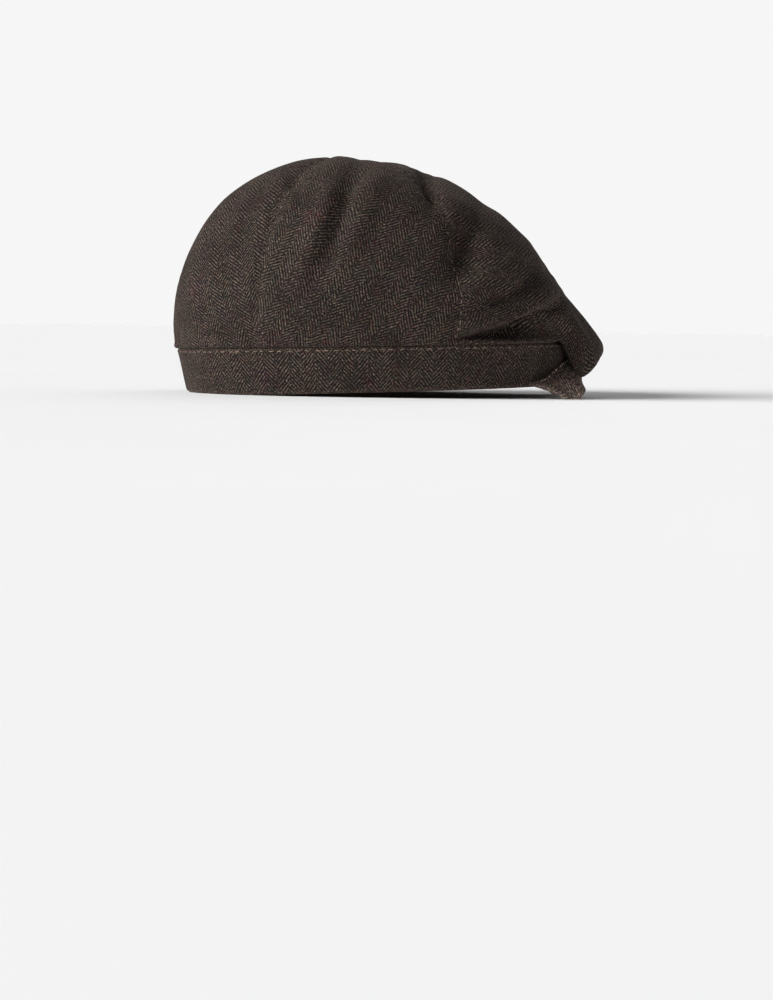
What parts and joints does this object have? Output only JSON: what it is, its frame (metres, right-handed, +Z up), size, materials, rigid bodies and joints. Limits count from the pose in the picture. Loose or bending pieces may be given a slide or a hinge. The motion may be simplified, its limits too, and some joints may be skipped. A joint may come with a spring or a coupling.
{
  "type": "newsboy flat cap",
  "caption": "Baggy flat cap in herringbone wool: crown panels sewn to a head band, with a short arched peak under the front of the crown.",
  "frame": {"origin": "middle of the cap's footprint, on the surface that it rests on", "axes": "+X the way the wearer faces, +Y the wearer's left, +Z up"},
  "size_m": [0.2376, 0.1856, 0.1309],
  "materials": {
    "crown_wool": "dark brown herringbone wool tweed with beige lines and coloured flecks",
    "band_wool": "the same tweed, doubled, with upright herringbone columns",
    "peak_wool": "the same tweed over a thin stiff board"
  },
  "bodies": {
    "root": {"crown_panel_1": "crown_wool", "crown_panel_2": "crown_wool", "crown_panel_3": "crown_wool", "crown_panel_4": "crown_wool", "crown_panel_5": "crown_wool", "crown_panel_6": "crown_wool", "band": "band_wool", "peak": "peak_wool"}
  },
  "joints": []
}
